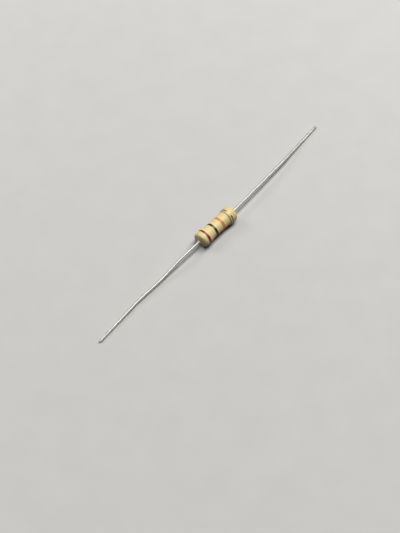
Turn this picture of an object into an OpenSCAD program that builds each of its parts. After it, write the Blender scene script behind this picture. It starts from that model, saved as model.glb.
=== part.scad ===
// Axial resistor: a carbon-film resistor of the common half-watt size. A ceramic
// rod carries the film, a pressed steel cap grips each end of it, a tinned wire is
// welded to each cap, and lacquer covers it all in a dog-bone shape. The bands
// read red, black, orange and gold, and both wires are a little bent.
// +X runs along the body towards the gold band and +Z is up. The origin is on the
// surface that the resistor lies on, under the middle of its body.

/* [Body] */
// Length of the lacquered body, without the collars on the leads
body_l = 9.55; // [9:0.05:10]
// Diameter of the body over each end cap
body_end_d = 3.3; // [3.2:0.05:3.8]
// Diameter of the body at its waist
body_waist_d = 2.85; // [2.7:0.05:3.1]
// How far before the mouth of each cap the body starts to swell
swell_lead = 0.6; // [0.4:0.05:0.8]
// Length of the slope from the waist up to each end
slope_l = 1.05; // [0.9:0.05:1.4]
// Radius round the edge of the left end, by the first band
left_edge_r = 0.5; // [0.4:0.05:0.7]
// Radius round the edge of the right end, by the last band
right_edge_r = 0.9; // [0.7:0.05:1]
// Slope of the lacquer from those edges in to the leads, in degrees
face_slope = 12; // [5:1:20]
// Thickness of lacquer over the face of each cap
end_coat = 0.45; // [0.4:0.01:0.55]

/* [Lacquer collars] */
// How far the lacquer runs out along each lead
collar_l = 0.25; // [0.2:0.05:0.8]
// Diameter of the collar where it leaves the end
collar_d = 1; // [0.9:0.05:1.2]
// Thickness of lacquer left at the tip of the collar
collar_t = 0.04; // [0.03:0.01:0.1]

/* [Rod and film] */
// Diameter of the ceramic rod
rod_d = 2.4; // [2.2:0.02:2.46]
// Chamfer on each end of the rod
rod_chamfer = 0.12; // [0.05:0.01:0.2]
// Thickness of the carbon film
film_t = 0.03; // [0.02:0.005:0.04]
// Turns of the helical groove that trims the film
groove_turns = 4; // [2:1:6]
// Width of that groove
groove_w = 0.25; // [0.1:0.05:0.4]
// Plain film left between each cap and the start of the groove
groove_margin = 0.35; // [0.2:0.05:0.6]

/* [End caps] */
// Wall of the pressed cap
cap_wall = 0.2; // [0.15:0.01:0.24]
// Length of the cap
cap_l = 1.7; // [1.4:0.05:1.8]
// Radius round the closed edge of the cap
cap_round = 0.25; // [0.15:0.01:0.35]
// Gap between the end of the rod and the inside of the cap
rod_end_gap = 0.05; // [0.02:0.01:0.1]

/* [Leads] */
// Diameter of the tinned wire
lead_d = 0.55; // [0.45:0.05:0.65]
// How far each lead reaches out from the end of the body
lead_reach = 28.1; // [24:0.1:32]
// From the tip of the collar to the corner of the first bend
first_bend = 0.7; // [0.45:0.05:1]
// Radius of the bends in the wire, to its centre line
bend_r = 15; // [8:1:20]
// Diameter of the upset head that is welded to the cap
weld_d = 0.95; // [0.8:0.05:1.2]
// Thickness of that head at its rim
weld_t = 0.12; // [0.06:0.02:0.2]
// Length of the taper from the head down to the wire
weld_taper = 0.15; // [0.1:0.01:0.2]

/* [Colour bands] */
// From the left end of the body to the middle of the first band
first_band_inset = 1.35; // [1.2:0.05:1.5]
// From the right end of the body to the middle of the last band
last_band_inset = 1.9; // [1.6:0.05:2.1]
// Width of each band of the value
band_w = 0.48; // [0.3:0.02:0.6]
// Width of the tolerance band
gold_band_w = 0.66; // [0.5:0.02:0.8]
// How far the paint stands proud of the lacquer
band_t = 0.012; // [0.01:0.002:0.03]
// How far the paint is keyed into the lacquer
band_key = 0.02; // [0.01:0.005:0.03]

/* [Hidden] */

$fn = 96;
end_r = body_end_d / 2;
waist_r = body_waist_d / 2;
lead_r = lead_d / 2;
collar_tip_r = lead_r + collar_t;
collar_rise = collar_d / 2 - collar_tip_r;
half_l = body_l / 2;
cap_face = half_l - end_coat;
rod_l = 2 * (cap_face - cap_wall - rod_end_gap);
rod_r = rod_d / 2;
film_r = rod_r + film_t;
cap_r = film_r + cap_wall;
cap_mouth = cap_face - cap_l;
half_waist = cap_mouth - swell_lead;
groove_l = 2 * (cap_mouth - groove_margin);
// Middle of each band, at a share of the way from the first band to the last
band_share = [0, 0.356, 0.668, 1];
band_x = [for (share = band_share)
    first_band_inset - half_l + share * (body_l - first_band_inset - last_band_inset)];
// The body lies on whichever is thicker, the lacquer over its ends or the last band
axis_h = max(end_r, barrel_r(band_x[3] + gold_band_w / 2) + band_t);
// How much thinner the wire is drawn at a bend, and how far the bend laps into the runs
bend_thin = 0.004;
bend_lap = 0.1;
arc_steps = 8;
slope_steps = 14;
groove_steps = 24;

// Each lead's corners after its first bend: how far out from the body and how far to
// the side, both as shares of the lead's reach, and the height as a share of the fall
// from the body's axis to a wire that lies on the surface
left_corners = [[0.2, 0, 0.94], [0.36, 0.003, 0.36], [0.61, 0, 0.17], [0.99, 0.027, 0]];
right_corners = [[0.33, 0.016, 0.93], [0.58, 0.032, 0.7], [0.83, 0.064, 0.08], [1, 0.079, 0]];

// Points along an arc about a centre, from one angle to another
function arc(centre, r, from, to) = [
    for (i = [0 : arc_steps])
        let (a = from + (to - from) * i / arc_steps)
            centre + r * [cos(a), sin(a)]
];

// Radius of the lacquer along the body: waist, swelling slope and end
function slope_share(x) = min(max((abs(x) - half_waist) / slope_l, 0), 1);
function barrel_r(x) = waist_r + (end_r - waist_r) * (1 - cos(180 * slope_share(x))) / 2;

// Where the rounding of an end's edge is centred along the body
function edge_x(r) = half_l - r * cos(face_slope)
    - (end_r - r + r * sin(face_slope) - collar_d / 2) * tan(face_slope);

// Outline of one half of the body from its middle, over its end, out along the lead
function half_outline(edge_r) = concat(
    [[0, waist_r]],
    [for (i = [0 : slope_steps]) let (x = half_waist + slope_l * i / slope_steps) [x, barrel_r(x)]],
    arc([edge_x(edge_r), end_r - edge_r], edge_r, 90, face_slope),
    [for (i = [0 : arc_steps])
        let (a = 90 * i / arc_steps)
            [half_l + collar_l * (1 - cos(a)), collar_tip_r + collar_rise * (1 - sin(a))]],
    [[half_l + collar_l, 0]]
);

function reversed(points) = [for (i = [len(points) - 1 : -1 : 0]) points[i]];

function mirrored(points) = [for (p = points) [-p.x, p.y]];

function turn_y(a) = [[cos(a), 0, sin(a)], [0, 1, 0], [-sin(a), 0, cos(a)]];

function turn_z(a) = [[cos(a), -sin(a), 0], [sin(a), cos(a), 0], [0, 0, 1]];

// Corners of a lead in its own frame, with +X out from the body
function lead_route(corners) = concat(
    [[cap_face, 0, axis_h], [half_l + collar_l + first_bend, 0, axis_h]],
    [for (c = corners)
        [half_l + c.x * lead_reach, c.y * lead_reach, lead_r + c.z * (axis_h - lead_r)]]
);

function heading(route, i) = (route[i + 1] - route[i]) / norm(route[i + 1] - route[i]);

// Turns an outline of [x, radius] points round the body's axis
module turned(points) {
    translate([0, 0, axis_h])
        rotate([0, 90, 0])
            rotate_extrude()
                polygon([for (p = points) [p.y, p.x]]);
}

// The wire from corner i onwards, starting at the origin along +Z. facing holds the
// directions of its own axes, and used is what the last bend took from this run.
// Each bend is drawn a hair thinner, and laps into the straight runs on both sides.
module wire(route, facing, i = 0, used = 0) {
    last = i == len(route) - 2;
    run = norm(route[i + 1] - route[i]) - used;
    ahead = last ? [0, 0, 1] : heading(route, i + 1) * facing;
    bend = acos(ahead.z);
    roll = atan2(ahead.y, ahead.x);
    trim = last ? 0 : bend_r * tan(bend / 2);
    turn = turn_z(roll) * turn_y(bend) * turn_z(-roll);
    lap_a = bend_lap / bend_r * 180 / PI;
    cylinder(h = run - trim, r = lead_r);
    if (!last)
        translate([0, 0, run - trim])
            rotate([0, 0, roll])
                translate([bend_r, 0, 0]) {
                    rotate([90, 0, 180])
                        rotate([0, 0, -lap_a])
                            rotate_extrude(angle = bend + 2 * lap_a)
                                translate([bend_r, 0])
                                    circle(r = lead_r - bend_thin);
                    rotate([0, bend, 0])
                        translate([-bend_r, 0, 0])
                            rotate([0, 0, -roll])
                                wire(route, facing * turn, i + 1, trim);
                }
}

// A lead with the head that is welded to its cap, out along +X
module lead(corners) {
    route = lead_route(corners);
    translate(route[0])
        rotate([0, 90, 0]) {
            wire(route, turn_y(90));
            cylinder(h = weld_t, d = weld_d);
            translate([0, 0, weld_t])
                cylinder(h = weld_taper, d1 = weld_d, r2 = lead_r);
        }
}

module left_lead() {
    color("silver")
        rotate([0, 0, 180])
            lead(left_corners);
}

module right_lead() {
    color("silver")
        lead(right_corners);
}

module ceramic_rod() {
    color("ivory")
        turned([
            [-rod_l / 2, 0], [-rod_l / 2, rod_r - rod_chamfer], [-rod_l / 2 + rod_chamfer, rod_r],
            [rod_l / 2 - rod_chamfer, rod_r], [rod_l / 2, rod_r - rod_chamfer], [rod_l / 2, 0]
        ]);
}

// The helical groove, a square thread wound round the rod's axis, cut a little
// deeper and higher than the film
module groove() {
    steps = groove_turns * groove_steps;
    section = [[rod_r - film_t, -1], [film_r + film_t, -1], [film_r + film_t, 1], [rod_r - film_t, 1]];
    rings = [for (i = [0 : steps])
        let (a = 360 * i / groove_steps, x = (groove_l - groove_w) * (i / steps - 0.5))
            [for (c = section) [c[0] * cos(a), c[0] * sin(a), x + c[1] * groove_w / 2]]];
    polyhedron(
        points = [for (ring = rings) each ring],
        faces = concat(
            [[3, 2, 1, 0]],
            [for (i = [0 : steps - 1], k = [0 : 3])
                let (n = (k + 1) % 4)
                    [4 * i + n, 4 * i + 4 + n, 4 * i + 4 + k, 4 * i + k]],
            [[for (k = [0 : 3]) 4 * steps + k]]
        )
    );
}

module carbon_film() {
    color("dimgray")
        translate([0, 0, axis_h])
            rotate([0, 90, 0])
                difference() {
                    cylinder(h = rod_l - 2 * rod_chamfer, r = film_r, center = true);
                    cylinder(h = rod_l, r = rod_r, center = true);
                    groove();
                }
}

// Outline of the cap at the right-hand end, solid to the axis
function cap_outline() = concat(
    [[cap_mouth, 0], [cap_mouth, cap_r]],
    arc([cap_face - cap_round, cap_r - cap_round], cap_round, 90, 0),
    [[cap_face, 0]]
);

module end_cap(outline) {
    color("lightsteelblue")
        difference() {
            turned(outline);
            translate([0, 0, axis_h])
                rotate([0, 90, 0])
                    cylinder(h = rod_l + 2 * rod_end_gap, r = film_r, center = true);
        }
}

module left_end_cap() {
    end_cap(mirrored(cap_outline()));
}

module right_end_cap() {
    end_cap(cap_outline());
}

module coating() {
    color("wheat")
        difference() {
            turned(concat(mirrored(reversed(half_outline(left_edge_r))), half_outline(right_edge_r)));
            translate([0, 0, axis_h])
                rotate([0, 90, 0])
                    cylinder(h = 2 * cap_mouth + cap_l, r = film_r, center = true);
            turned(mirrored(cap_outline()));
            turned(cap_outline());
            left_lead();
            right_lead();
            for (i = [0 : 3])
                band(i);
        }
}

// Outline of the lacquer under a band, moved out or in by a given amount
function band_edge(from, w, out) = [
    for (k = [0 : arc_steps])
        let (x = from + w * k / arc_steps)
            [x, barrel_r(x) + out]
];

// Band number i, counted from the left: an even ring of paint on the lacquer
module band(i) {
    w = i == 3 ? gold_band_w : band_w;
    from = band_x[i] - w / 2;
    turned(concat(reversed(band_edge(from, w, -band_key)), band_edge(from, w, band_t)));
}

module red_band() {
    color("firebrick")
        band(0);
}

module black_band() {
    color("#2a2422")
        band(1);
}

module orange_band() {
    color("darkorange")
        band(2);
}

module gold_band() {
    color("darkkhaki")
        band(3);
}

ceramic_rod();
carbon_film();
left_end_cap();
right_end_cap();
left_lead();
right_lead();
coating();
red_band();
black_band();
orange_band();
gold_band();
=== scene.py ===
import math

import bpy
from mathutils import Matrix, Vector, noise


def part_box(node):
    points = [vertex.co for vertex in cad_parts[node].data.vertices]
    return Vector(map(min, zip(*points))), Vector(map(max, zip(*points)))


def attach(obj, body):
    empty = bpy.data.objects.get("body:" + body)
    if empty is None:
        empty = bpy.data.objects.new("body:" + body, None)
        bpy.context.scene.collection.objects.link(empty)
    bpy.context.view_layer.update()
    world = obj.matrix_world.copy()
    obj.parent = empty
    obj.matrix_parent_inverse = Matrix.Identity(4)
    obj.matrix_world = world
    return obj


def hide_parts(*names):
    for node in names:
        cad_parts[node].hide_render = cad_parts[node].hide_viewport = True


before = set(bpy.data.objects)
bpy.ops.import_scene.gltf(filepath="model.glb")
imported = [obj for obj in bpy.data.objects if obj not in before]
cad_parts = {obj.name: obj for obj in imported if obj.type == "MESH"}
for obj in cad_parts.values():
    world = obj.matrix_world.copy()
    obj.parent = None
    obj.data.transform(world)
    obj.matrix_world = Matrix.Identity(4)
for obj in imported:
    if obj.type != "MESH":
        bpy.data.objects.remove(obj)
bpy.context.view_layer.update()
# Every piece's sizes are in millimetres, and MM turns them into the scene's metres.
MM = 0.001

# Camera: it stands beyond the left end, a little to the front, and looks steeply down, so that
# the leads run from corner to corner and the left end's face just shows.
aim = Vector((-8.105, -3.12, 0)) * MM
distance = 245.3 * MM
bearing = math.radians(222.06)
height = math.radians(56.14)
back = Vector((
    math.cos(bearing) * math.cos(height), math.sin(bearing) * math.cos(height), math.sin(height)
))
optics = bpy.data.cameras.new("camera")
optics.lens = 87.8
optics.clip_start = 0.02
optics.clip_end = 5
camera = bpy.data.objects.new("camera", optics)
camera.location = aim + back * distance
camera.rotation_euler = (-back).to_track_quat("-Z", "Y").to_euler()
bpy.context.scene.collection.objects.link(camera)
bpy.context.scene.camera = camera


# Ceramic rod: the core of the resistor, an alumina porcelain that is extruded, fired and cut
# to length. The film is baked onto it and the caps are pressed over its ends.
def colour(code):
    """An sRGB hex colour as the linear colour that a socket takes."""
    shares = [int(code[i:i + 2], 16) / 255 for i in (1, 3, 5)]
    return (*[s / 12.92 if s <= 0.04045 else ((s + 0.055) / 1.055) ** 2.4 for s in shares], 1)


def add_node(material, kind, inputs, **settings):
    """Adds a node, sets it up, and fills its inputs with values or other nodes' outputs."""
    tree = material.node_tree
    made = tree.nodes.new("ShaderNode" + kind)
    for name, value in settings.items():
        setattr(made, name, value)
    for socket, value in inputs.items():
        if isinstance(value, bpy.types.NodeSocket):
            tree.links.new(value, made.inputs[socket])
        else:
            made.inputs[socket].default_value = value
    return made


def new_material(name, **constants):
    """A material, its shader with its constant values set, and the piece's own coordinates."""
    material = bpy.data.materials.new(name)
    material.use_nodes = True
    shader = material.node_tree.nodes["Principled BSDF"]
    for socket, value in constants.items():
        shader.inputs[socket.replace("_", " ")].default_value = value
    return material, shader, add_node(material, "TexCoord", {}).outputs["Object"]


def drive(material, shader, **outputs):
    """Links nodes' outputs to the shader's inputs."""
    for socket, output in outputs.items():
        material.node_tree.links.new(output, shader.inputs[socket.replace("_", " ")])


def dress(node, material):
    """Gives a solid that keeps its own mesh its finish."""
    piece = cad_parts[node]
    piece.data.materials.clear()
    piece.data.materials.append(material)


# Unglazed fired alumina: matt and off-white, clouded by the clay, with a bite that is sand-fine.
# The real bite is finer still than 0.04 mm.
alumina, shader, place = new_material("fired_alumina", Roughness=0.75, IOR=1.6)
cloud = add_node(alumina, "TexNoise", {"Vector": place, "Scale": 1 / (0.5 * MM), "Detail": 4})
clay = add_node(
    alumina, "Mix", {"Factor": cloud.outputs["Fac"], "A": colour("#DDD5C5"), "B": colour("#F4F0E6")},
    data_type="RGBA",
)
grain = add_node(alumina, "TexNoise", {"Vector": place, "Scale": 1 / (0.04 * MM), "Detail": 2})
bite = add_node(alumina, "Bump", {"Height": grain.outputs["Fac"], "Distance": 0.006 * MM})
drive(alumina, shader, Base_Color=clay.outputs["Result"], Normal=bite.outputs["Normal"])
dress("ceramic_rod", alumina)


# Carbon film: the resistance itself, a skin of carbon cracked onto the rod in an oven, then
# cut by a grinding wheel into a long helix to trim its value.
# Cracked carbon: near black with a leaden sheen, clouded where the film is thinner.
carbon, shader, place = new_material("cracked_carbon_film", IOR=1.8)
cloud = add_node(carbon, "TexNoise", {"Vector": place, "Scale": 1 / (0.7 * MM), "Detail": 5})
soot = add_node(
    carbon, "Mix", {"Factor": cloud.outputs["Fac"], "A": colour("#232326"), "B": colour("#45454A")},
    data_type="RGBA",
)
sheen = add_node(
    carbon, "MapRange", {"Value": cloud.outputs["Fac"], "To Min": 0.35, "To Max": 0.6}
)
drive(carbon, shader, Base_Color=soot.outputs["Result"], Roughness=sheen.outputs["Result"])
dress("carbon_film", carbon)


# End caps: cups deep-drawn from tinned steel strip and pressed over the ends of the rod, where
# they grip the film and carry the leads.
# Tin-plated steel: bright grey, drawn into fine lines along the cup's wall, with duller clouds.
# The real lines are finer still than 0.05 mm.
plate, shader, place = new_material("tinned_steel_cup", Metallic=1)
stretch = add_node(
    plate, "Mapping", {"Vector": place, "Scale": (1 / (1.5 * MM), 1 / (0.05 * MM), 1 / (0.05 * MM))}
)
lines = add_node(plate, "TexNoise", {"Vector": stretch.outputs["Vector"], "Scale": 1, "Detail": 3})
cloud = add_node(plate, "TexNoise", {"Vector": place, "Scale": 1 / (0.6 * MM), "Detail": 3})
tone = add_node(
    plate, "Mix", {"Factor": cloud.outputs["Fac"], "A": colour("#A9A8A4"), "B": colour("#D2D0CB")},
    data_type="RGBA",
)
dull = add_node(plate, "MapRange", {"Value": lines.outputs["Fac"], "To Min": 0.22, "To Max": 0.48})
scored = add_node(plate, "Bump", {"Height": lines.outputs["Fac"], "Distance": 0.002 * MM})
drive(
    plate, shader, Base_Color=tone.outputs["Result"], Roughness=dull.outputs["Result"],
    Normal=scored.outputs["Normal"],
)
dress("left_end_cap", plate)
dress("right_end_cap", plate)


# Leads: soft copper wire, drawn through a die and tinned. Each is upset into a head that is
# welded to its cap, runs out through the lacquer, is a little bent, and ends where it was sheared.
half_l = 4.775
cap_face = 4.325
wire_r = 0.275
# The wire and its head are drawn 0.001 mm small, so that they lie within the solids' box.
lead_r = 0.274
weld_r = 0.474
weld_t = 0.12
weld_taper = 0.15
first_corner = 5.725
bend_r = 15
reach = 28.1
pinch_l = 0.16
pinched = (1, 0.97, 0.72)
burr_round = (1, 0.88, 0.88)
wire_sides = 32
bend_steps = 6
wire_crease = math.radians(35)
rod_low, rod_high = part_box("ceramic_rod")
axis_h = (rod_low.z + rod_high.z) / 2 / MM
fall = axis_h - wire_r
# Each lead's corners, as shares: out and aside of its reach, and up of its fall to the surface.
left_corners = [(0.2, 0, 0.94), (0.36, 0.003, 0.36), (0.61, 0, 0.17), (0.99, 0.027, 0)]
right_corners = [(0.33, 0.016, 0.93), (0.58, 0.032, 0.7), (0.83, 0.064, 0.08), (1, 0.079, 0)]

# Bright tin over copper, which the shears have drawn across the cut: silvery, with die lines
# and small dull clouds. The real die lines are finer still than 0.03 mm.
tin, shader, _ = new_material("bright_tinned_copper", Metallic=1)
laid = add_node(tin, "Attribute", {}, attribute_name="laid_straight").outputs["Vector"]
stretch = add_node(
    tin, "Mapping", {"Vector": laid, "Scale": (1 / (2.5 * MM), 1 / (0.03 * MM), 1 / (0.03 * MM))}
)
lines = add_node(tin, "TexNoise", {"Vector": stretch.outputs["Vector"], "Scale": 1, "Detail": 3})
cloud = add_node(tin, "TexNoise", {"Vector": laid, "Scale": 1 / (0.9 * MM), "Detail": 4})
tone = add_node(
    tin, "Mix", {"Factor": cloud.outputs["Fac"], "A": colour("#C4C3BE"), "B": colour("#DDDCD7")},
    data_type="RGBA",
)
dull = add_node(
    tin, "MapRange", {"Value": cloud.outputs["Fac"], "From Min": 0.3, "From Max": 0.7,
                      "To Min": 0.53, "To Max": 0.63}
)
scored = add_node(tin, "Bump", {"Height": lines.outputs["Fac"], "Distance": 0.0006 * MM})
drive(
    tin, shader, Base_Color=tone.outputs["Result"], Roughness=dull.outputs["Result"],
    Normal=scored.outputs["Normal"],
)


def push(step):
    """Extrudes what is selected by a step."""
    bpy.ops.mesh.extrude_region_move(TRANSFORM_OT_translate={"value": step})


def bend_wire(name, corners):
    """Draws a lead out of its welded head along its corners to the cut end."""
    bpy.ops.object.select_all(action="DESELECT")
    points = [Vector(c) * MM for c in corners]
    heading = (points[1] - points[0]).normalized()
    bpy.ops.mesh.primitive_circle_add(
        vertices=wire_sides, radius=weld_r * MM, location=points[0], rotation=(0, math.pi / 2, 0)
    )
    piece = bpy.context.object
    piece.name = piece.data.name = name
    bpy.ops.object.transform_apply(location=True, rotation=True, scale=True)
    bpy.ops.object.mode_set(mode="EDIT")
    bpy.ops.mesh.select_all(action="SELECT")
    push(heading * weld_t * MM)
    push(heading * weld_taper * MM)
    here = points[0] + heading * (weld_t + weld_taper) * MM
    neck = lead_r / weld_r
    bpy.ops.transform.resize(value=(1, neck, neck), center_override=here)
    for corner, beyond in zip(points[1:-1], points[2:]):
        heading = (corner - here).normalized()
        next_heading = (beyond - corner).normalized()
        turn = heading.angle(next_heading)
        axis = heading.cross(next_heading).normalized()
        setback = bend_r * MM * math.tan(turn / 2)
        push(corner - heading * setback - here)
        centre = corner - heading * setback + axis.cross(heading) * bend_r * MM
        bpy.ops.mesh.spin(steps=bend_steps, angle=-turn, center=centre, axis=axis)
        here = corner + next_heading * setback
    heading = (points[-1] - here).normalized()
    push(points[-1] - heading * pinch_l * MM - here)
    push(heading * pinch_l * MM)
    bpy.ops.transform.resize(value=pinched, center_override=points[-1])
    push((0, 0, 0))
    bpy.ops.transform.resize(value=burr_round, center_override=points[-1])
    bpy.ops.mesh.select_all(action="SELECT")
    bpy.ops.mesh.fill_holes(sides=0)
    bpy.ops.mesh.select_all(action="SELECT")
    bpy.ops.mesh.normals_make_consistent(inside=False)
    bpy.ops.object.mode_set(mode="OBJECT")
    bpy.ops.object.shade_smooth_by_angle(angle=wire_crease)
    return piece


def lay_straight(piece):
    """Gives each vertex its place on the straightened wire, measured back from the cut."""
    spots = [v.co.copy() for v in piece.data.vertices]
    rings = [spots[i:i + wire_sides] for i in range(0, len(spots), wire_sides)]
    middles = [sum(ring, Vector()) / wire_sides for ring in rings]
    laid_straight = piece.data.attributes.new("laid_straight", "FLOAT_VECTOR", "POINT")
    along = 0
    for k in range(len(rings) - 1, -1, -1):
        if k < len(rings) - 1:
            along += (middles[k + 1] - middles[k]).length
        for j, spot in enumerate(rings[k]):
            radius = (spot - middles[k]).length
            angle = 2 * math.pi * j / wire_sides
            laid_straight.data[k * wire_sides + j].vector = (
                along, radius * math.cos(angle), radius * math.sin(angle)
            )


for name, side, corners in (("left", -1, left_corners), ("right", 1, right_corners)):
    route = [(side * cap_face, 0, axis_h), (side * first_corner, 0, axis_h)]
    route += [
        (side * (half_l + far_out * reach), side * aside * reach, wire_r + up * fall)
        for far_out, aside, up in corners
    ]
    lead = bend_wire(name + "_tinned_lead", route)
    lay_straight(lead)
    lead.data.materials.append(tin)
    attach(lead, "root")
    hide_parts(name + "_lead")


# Lacquer: the beige coat that the whole body is rolled and dipped in and then baked. It draws
# in round the rod, swells over the caps, and creeps a little way out along each lead.
end_r = 1.65
waist_r = 1.425
half_waist = 2.025
slope_l = 1.05
left_edge_r = 0.5
right_edge_r = 0.9
face_slope = math.radians(12)
collar_l = 0.25
collar_root_r = 0.5
collar_tip_r = 0.315
cap_mouth = 2.625
cap_r = 1.43
cap_round = 0.25
cap_bevel = 0.29
film_r = 1.23
dip_depth = 0.011
dip_length = 1.7
dip_round = 1.1
dip_patch = 3
ragged_share = 0.3
ragged_round = 1.6
askew = 0.17
proud = 0.04
askew_from = 3.85
askew_angle = math.radians(66)
sides = 96
barrel_steps = 24
edge_steps = 12
face_steps = 5
collar_steps = 8
skin_crease = math.radians(50)
thin_lacquer = colour("#DBC689")
thick_lacquer = colour("#E8D59B")
# Slack for telling the surfaces apart by their places.
slack = 0.001


def barrel_r(x):
    """The skin's nominal radius along the body."""
    share = min(max((abs(x) - half_waist) / slope_l, 0), 1)
    return waist_r + (end_r - waist_r) * (1 - math.cos(math.pi * share)) / 2


def unevenness(x, angle):
    """How far the skin lies under its nominal radius, in mm."""
    across = dip_round * math.cos(angle)
    up = dip_round * math.sin(angle) + dip_patch
    return dip_depth * (1 + noise.noise(Vector((x / dip_length, across, up))))


def turned(name, outline):
    """Turns a closed outline of (x, radius) points, in mm, about the resistor's axis."""
    bpy.ops.object.select_all(action="DESELECT")
    (x, radius), *others = outline
    bpy.ops.mesh.primitive_circle_add(
        vertices=sides, radius=radius * MM, location=(x * MM, 0, axis_h * MM),
        rotation=(0, math.pi / 2, 0),
    )
    piece = bpy.context.object
    piece.name = piece.data.name = name
    bpy.ops.object.transform_apply(location=True, rotation=True, scale=True)
    bpy.ops.object.mode_set(mode="EDIT")
    bpy.ops.mesh.select_all(action="SELECT")
    for next_x, next_radius in others:
        push(((next_x - x) * MM, 0, 0))
        growth = next_radius / radius
        bpy.ops.transform.resize(
            value=(1, growth, growth), center_override=(next_x * MM, 0, axis_h * MM)
        )
        x, radius = next_x, next_radius
    bpy.ops.mesh.select_all(action="DESELECT")
    bpy.ops.mesh.select_non_manifold()
    bpy.ops.mesh.bridge_edge_loops()
    bpy.ops.mesh.select_all(action="SELECT")
    bpy.ops.mesh.normals_make_consistent(inside=False)
    bpy.ops.object.mode_set(mode="OBJECT")
    return piece


def reshape(piece, rule):
    """Moves each vertex by a rule that turns its x, radius and angle into a new x and radius."""
    for vertex in piece.data.vertices:
        x, y, z = vertex.co / MM
        radius = math.hypot(y, z - axis_h)
        angle = math.atan2(y, z - axis_h)
        x, radius = rule(x, radius, angle)
        vertex.co = Vector((x, radius * math.sin(angle), axis_h + radius * math.cos(angle))) * MM
    bpy.context.view_layer.objects.active = piece
    piece.select_set(True)
    bpy.ops.object.shade_smooth_by_angle(angle=skin_crease)


def half_skin(edge_r):
    """The outline of one half of the skin: swelling barrel, rounded edge, sloping face, collar."""
    rim_r = end_r - edge_r + edge_r * math.sin(face_slope)
    edge_x = half_l - edge_r * math.cos(face_slope) - (rim_r - collar_root_r) * math.tan(face_slope)
    points = [
        (edge_x * k / barrel_steps, barrel_r(edge_x * k / barrel_steps))
        for k in range(barrel_steps)
    ]
    for k in range(edge_steps + 1):
        a = (math.pi / 2 - face_slope) * k / edge_steps
        points.append((edge_x + edge_r * math.sin(a), end_r - edge_r + edge_r * math.cos(a)))
    rim_x = points[-1][0]
    for k in range(1, face_steps):
        share = k / face_steps
        points.append((rim_x + (half_l - rim_x) * share, rim_r + (collar_root_r - rim_r) * share))
    for k in range(collar_steps + 1):
        a = math.pi / 2 * k / collar_steps
        points.append((
            half_l + collar_l * (1 - math.cos(a)),
            collar_tip_r + (collar_root_r - collar_tip_r) * (1 - math.sin(a)),
        ))
    return points


half_bore = [
    (0, film_r), (cap_mouth, film_r), (cap_mouth, cap_r), (cap_face - cap_round, cap_r),
    (cap_face - cap_round * cap_bevel, cap_r - cap_round * cap_bevel),
    (cap_face, cap_r - cap_round),
    (cap_face, lead_r), (half_l + collar_l, lead_r),
]
skin = [(-x, r) for x, r in reversed(half_skin(left_edge_r))] + half_skin(right_edge_r)[1:]
bore = [(x, r) for x, r in reversed(half_bore)] + [(-x, r) for x, r in half_bore[1:]]
body = turned("dipped_lacquer", skin + bore)


def settle(x, radius, angle):
    """The dip's own unevenness, its left face a little askew, and its ragged edge on the leads."""
    far_out = abs(x)
    in_cap = cap_mouth - slack < far_out < cap_face + slack and radius < cap_r + slack
    if in_cap or radius < film_r + slack and far_out < cap_face:
        return x, radius
    if far_out > half_l + slack:
        spot = Vector((ragged_round * math.cos(angle), ragged_round * math.sin(angle), x))
        ragged = 0.5 + 0.5 * noise.noise(spot)
        x = math.copysign(half_l + (far_out - half_l) * (1 - ragged_share * ragged), x)
    else:
        radius -= unevenness(x, angle) * min(1, radius / end_r)
    if x < -askew_from:
        share = min(1, (far_out - askew_from) / (half_l - askew_from))
        x -= share * (proud + askew * radius / end_r * math.cos(angle - askew_angle))
    return x, radius


reshape(body, settle)
# Baked lacquer: a warm beige, clouded where it is thicker, with grains of pigment, a soft gloss,
# and the shallow dimples of a coat that flowed a little before it set. The real grains are finer
# still than 0.16 mm.
lacquer, shader, place = new_material("baked_beige_lacquer", IOR=1.5)
cloud = add_node(lacquer, "TexNoise", {"Vector": place, "Scale": 1 / (1.4 * MM), "Detail": 4})
depth = add_node(
    lacquer, "MapRange", {"Value": cloud.outputs["Fac"], "From Min": 0.3, "From Max": 0.7}
)
coat = add_node(
    lacquer, "Mix", {"Factor": depth.outputs["Result"], "A": thin_lacquer, "B": thick_lacquer},
    data_type="RGBA",
)
grains = add_node(lacquer, "TexVoronoi", {"Vector": place, "Scale": 1 / (0.16 * MM)})
speck = add_node(
    lacquer, "MapRange", {"Value": grains.outputs["Distance"], "From Min": 0.1, "From Max": 0.24,
                          "To Min": 0.28, "To Max": 0}
)
specked = add_node(
    lacquer, "Mix", {"Factor": speck.outputs["Result"], "A": coat.outputs["Result"],
                     "B": colour("#A58D58")},
    data_type="RGBA",
)
flow = add_node(lacquer, "TexNoise", {"Vector": place, "Scale": 1 / (0.3 * MM), "Detail": 2})
gloss = add_node(lacquer, "MapRange", {"Value": flow.outputs["Fac"], "To Min": 0.4, "To Max": 0.56})
dimples = add_node(lacquer, "Bump", {"Height": flow.outputs["Fac"], "Distance": 0.006 * MM})
drive(
    lacquer, shader, Base_Color=specked.outputs["Result"], Roughness=gloss.outputs["Result"],
    Normal=dimples.outputs["Normal"],
)
body.data.materials.append(lacquer)
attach(body, "root")
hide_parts("coating")


# Bands: enamel rolled onto the lacquer by printing wheels and stoved. Red, black and orange are
# the value, two, nought and three noughts, and gold is the tolerance of five per cent.
paint_t = 0.012
sunk = 0.02
edge_spread = 0.12
edge_round = 1.3
other_edge = 0.7
drift_l = 0.02
drift_patch = 5
heavy_angle = math.radians(-114)
# Which way the crown faces, where the bands carry a painted highlight.
highlight_facing = (0, -0.25, 0.97)
gold_x = 2.875
gold_w = 0.66
# Where the gold band's painted edge shade lies, as spans along the axis.
inner_line_x = (gold_x - 0.12, gold_x - 0.19)
outer_line_x = (gold_x + 0.06, gold_x + 0.12)
band_w = 0.48
# A band is turned between these two radii, and then laid onto the skin.
rough_outer_r = 1.6
rough_inner_r = 1.5


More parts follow.
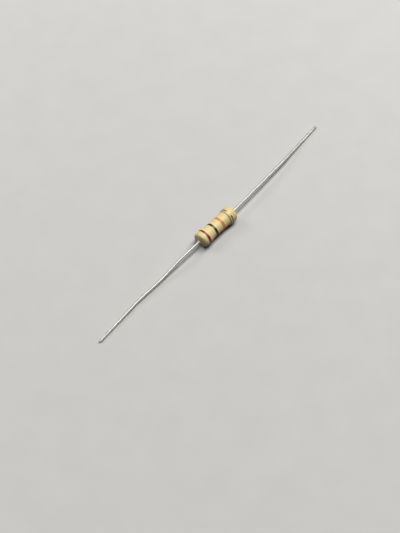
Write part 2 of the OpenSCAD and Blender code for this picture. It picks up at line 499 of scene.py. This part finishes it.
def paint_band(paint, x, width, heavy, wander, material):
    """Lays a band on the skin. It runs wider where the wheel pressed harder, and wanders a little."""
    across = (-1, -0.93, -0.7, -0.35, 0, 0.35, 0.7, 0.93, 1)
    outline = [(x + t * width / 2, rough_outer_r) for t in across]
    outline += [(x + t * width / 2, rough_inner_r) for t in (1, 0, -1)]
    piece = turned(paint + "_stripe", outline)

    def lay(at, radius, angle):
        t = (at - x) / (width / 2)
        around = Vector((math.cos(angle), math.sin(angle), wander))
        edge = noise.noise(edge_round * around + Vector((0, 0, other_edge * (t > 0))))
        drift = noise.noise(around + Vector((0, 0, drift_patch)))
        spread = 1 + edge_spread * edge + heavy * math.cos(angle - heavy_angle)
        at = x + t * spread * width / 2 + drift_l * drift
        skin_r = barrel_r(at) - unevenness(at, angle) * barrel_r(at) / end_r
        if radius > (rough_outer_r + rough_inner_r) / 2:
            return at, skin_r + paint_t * (1 - t ** 8) - slack
        return at, skin_r - sunk

    reshape(piece, lay)
    piece.data.materials.append(material)
    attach(piece, "root")
    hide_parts(paint + "_band")


def highlight_crown(material, place, half_angle):
    """A painted highlight's mask: one along the body's crown, where the lamp's highlight falls, and
    nought round the rest.
    """
    around = add_node(
        material, "Mapping", {"Vector": place, "Location": (0, 0, -axis_h * MM), "Scale": (0, 1, 1)}
    )
    facing = add_node(
        material, "VectorMath", {0: around.outputs["Vector"]}, operation="NORMALIZE"
    )
    upward = add_node(
        material, "VectorMath", {0: facing.outputs["Vector"], 1: highlight_facing},
        operation="DOT_PRODUCT",
    )
    highlight_share = add_node(
        material, "MapRange", {"Value": upward.outputs["Value"],
                               "From Min": math.cos(math.radians(half_angle)),
                               "From Max": math.cos(math.radians(half_angle / 2))},
        interpolation_type="SMOOTHSTEP",
    )
    return highlight_share.outputs["Result"]


def enamel(name, thin, thick, highlight_amount):
    """Stoved enamel: glossier than the lacquer, streaked by the wheel, and paled on the crown by a
    painted highlight.
    """
    material, shader, place = new_material(name, IOR=1.5)
    pull = add_node(
        material, "Mapping", {"Vector": place, "Scale": (1 / (0.09 * MM), 1 / MM, 1 / MM)}
    )
    streaks = add_node(
        material, "TexNoise", {"Vector": pull.outputs["Vector"], "Scale": 1, "Detail": 3}
    )
    load = add_node(
        material, "MapRange", {"Value": streaks.outputs["Fac"], "From Min": 0.3, "From Max": 0.7}
    )
    coat = add_node(
        material, "Mix", {"Factor": load.outputs["Result"], "A": colour(thin), "B": colour(thick)},
        data_type="RGBA",
    )
    # Painted highlight: along the crown the coat is mixed towards the lacquer's beige.
    highlight_fade = add_node(
        material, "Math", {0: highlight_crown(material, place, half_angle=20), 1: highlight_amount},
        operation="MULTIPLY",
    )
    highlighted_coat = add_node(
        material, "Mix", {"Factor": highlight_fade.outputs["Value"], "A": coat.outputs["Result"],
                          "B": thin_lacquer},
        data_type="RGBA",
    )
    gloss = add_node(
        material, "MapRange", {"Value": streaks.outputs["Fac"], "To Min": 0.38, "To Max": 0.5}
    )
    ridges = add_node(
        material, "Bump", {"Height": streaks.outputs["Fac"], "Distance": 0.003 * MM}
    )
    drive(
        material, shader, Base_Color=highlighted_coat.outputs["Result"], Roughness=gloss.outputs["Result"],
        Normal=ridges.outputs["Normal"],
    )
    return material


# Gold paint: brass flake in clear varnish, pale and faintly metallic. A thin olive line along the inner
# edge and a heavier, darker one along the outer edge are painted shade where the film slopes down at
# the band's edges, and the outer one is left out on the crown of the body as a painted highlight.
# Real flakes are finer still than 0.05 mm.
gold, shader, place = new_material("brass_flake_paint", Roughness=0.55, IOR=1.5)
flakes = add_node(gold, "TexVoronoi", {"Vector": place, "Scale": 1 / (0.05 * MM)})
leaf = add_node(
    gold, "Mix", {"Factor": flakes.outputs["Distance"], "A": colour("#E9D6A2"), "B": colour("#CCB475")},
    data_type="RGBA",
)
along = add_node(gold, "SeparateXYZ", {"Vector": place}).outputs["X"]
inner_line = add_node(
    gold, "MapRange", {"Value": along, "From Min": inner_line_x[0] * MM,
                       "From Max": inner_line_x[1] * MM, "To Max": 0.62},
    interpolation_type="SMOOTHSTEP",
)
outer_line = add_node(
    gold, "MapRange", {"Value": along, "From Min": outer_line_x[0] * MM,
                       "From Max": outer_line_x[1] * MM},
    interpolation_type="SMOOTHSTEP",
)
outer_shade_off_crown = add_node(
    gold, "Math", {0: outer_line.outputs["Result"], 1: highlight_crown(gold, place, half_angle=28)},
    operation="SUBTRACT", use_clamp=True,
)
# Painted shade on the band's sloping edges, the outer line left out under the painted highlight on the
# crown.
painted_edge_shade = add_node(
    gold, "Math", {0: inner_line.outputs["Result"], 1: outer_shade_off_crown.outputs["Value"]},
    operation="MAXIMUM",
)
tone = add_node(
    gold, "Mix", {"Factor": painted_edge_shade.outputs["Value"], "A": leaf.outputs["Result"],
                  "B": colour("#4A3C08")},
    data_type="RGBA",
)
shine = add_node(
    gold, "MapRange", {"Value": painted_edge_shade.outputs["Value"], "To Min": 0.2, "To Max": 0}
)
grain = add_node(gold, "Bump", {"Height": flakes.outputs["Distance"], "Distance": 0.002 * MM})
drive(
    gold, shader, Base_Color=tone.outputs["Result"], Metallic=shine.outputs["Result"],
    Normal=grain.outputs["Normal"],
)
# The last number is how far each band is paled by its painted highlight on the crown.
red = enamel("red_enamel", thin="#8F2410", thick="#741407", highlight_amount=0.12)
black = enamel("brown_black_enamel", thin="#3A1B12", thick="#24100A", highlight_amount=0.2)
orange = enamel("orange_enamel", thin="#D98A3C", thick="#C67124", highlight_amount=0.1)
paint_band("red", x=-3.425, width=band_w, heavy=0.3, wander=1, material=red)
paint_band("black", x=-1.182, width=1.08 * band_w, heavy=0.15, wander=2, material=black)
paint_band("orange", x=0.783, width=1.1 * band_w, heavy=0.3, wander=3, material=orange)
paint_band("gold", x=gold_x, width=1.1 * gold_w, heavy=0, wander=4, material=gold)


# Floor: a sheet of pale grey card, which shows under the object and in its metal and gloss, and
# throws back no more light than a dark bench mat would.
lamp_distance = 0.35
floor_across = 8
pulp_colour = colour("#BEBDBA")
floor_colour = colour("#C6C5C2")
bounce_colour = colour("#505050")

# Matt card: an even pale grey with the faint cloud of its pulp.
card, shader, place = new_material("matt_pale_card", Roughness=0.9)
pulp = add_node(card, "TexNoise", {"Vector": place, "Scale": 1 / (6 * MM), "Detail": 5})
pale = add_node(
    card, "Mix", {"Factor": pulp.outputs["Fac"], "A": pulp_colour, "B": floor_colour},
    data_type="RGBA",
)
ray = add_node(card, "LightPath", {})
direct = add_node(
    card, "Math", {0: ray.outputs["Is Camera Ray"], 1: ray.outputs["Is Glossy Ray"]},
    operation="MAXIMUM",
)
seen = add_node(
    card, "Math", {0: direct.outputs["Value"], 1: ray.outputs["Is Transmission Ray"]},
    operation="MAXIMUM",
)
shown = add_node(
    card, "Mix", {"Factor": seen.outputs["Value"], "A": bounce_colour, "B": pale.outputs["Result"]},
    data_type="RGBA",
)
# Further out, where the lamps' light falls away, a glow that only the same three kinds of ray
# meet keeps the card as pale.
far_out = add_node(card, "VectorMath", {0: place, 1: place}, operation="DOT_PRODUCT")
from_lamp = add_node(
    card, "Math", {0: far_out.outputs["Value"], 1: lamp_distance ** 2}, operation="ADD"
)
falloff = add_node(
    card, "Math", {0: lamp_distance ** 2, 1: from_lamp.outputs["Value"]}, operation="DIVIDE"
)
lit = add_node(card, "Math", {0: falloff.outputs["Value"], 1: 2}, operation="POWER")
unlit = add_node(card, "Math", {0: 1, 1: lit.outputs["Value"]}, operation="SUBTRACT")
glow = add_node(
    card, "Math", {0: unlit.outputs["Value"], 1: seen.outputs["Value"]}, operation="MULTIPLY"
)
drive(
    card, shader, Base_Color=shown.outputs["Result"], Emission_Color=pale.outputs["Result"],
    Emission_Strength=glow.outputs["Value"],
)
bpy.ops.object.select_all(action="DESELECT")
bpy.ops.mesh.primitive_plane_add(size=floor_across)
floor = bpy.context.object
floor.name = floor.data.name = "floor"
floor.data.materials.append(card)


# Light: a long softbox almost overhead, a weaker fill behind the left end, and a dim even light
# all round, as from the walls of a room.
def light(name, across, along, energy, towards):
    """A soft rectangular lamp that faces the origin, its sides in metres and energy in watts."""
    lamp = bpy.data.lights.new(name, "AREA")
    lamp.shape = "RECTANGLE"
    lamp.size = across
    lamp.size_y = along
    lamp.energy = energy
    placed = bpy.data.objects.new(name, lamp)
    towards = Vector(towards).normalized()
    placed.location = towards * lamp_distance
    placed.rotation_euler = towards.to_track_quat("Z", "Y").to_euler()
    bpy.context.scene.collection.objects.link(placed)


light("softbox", across=0.15, along=0.43, energy=1.54, towards=(0.33, -0.03, 1))
light("fill", across=0.14, along=0.14, energy=0.28, towards=(-0.4, 1, 1))
world = bpy.data.worlds.new("dim_room")
bpy.context.scene.world = world
world.use_nodes = True
background = world.node_tree.nodes["Background"]
background.inputs["Color"].default_value = (1, 1, 1, 1)
background.inputs["Strength"].default_value = 0.03
bpy.context.scene.view_settings.view_transform = "Standard"
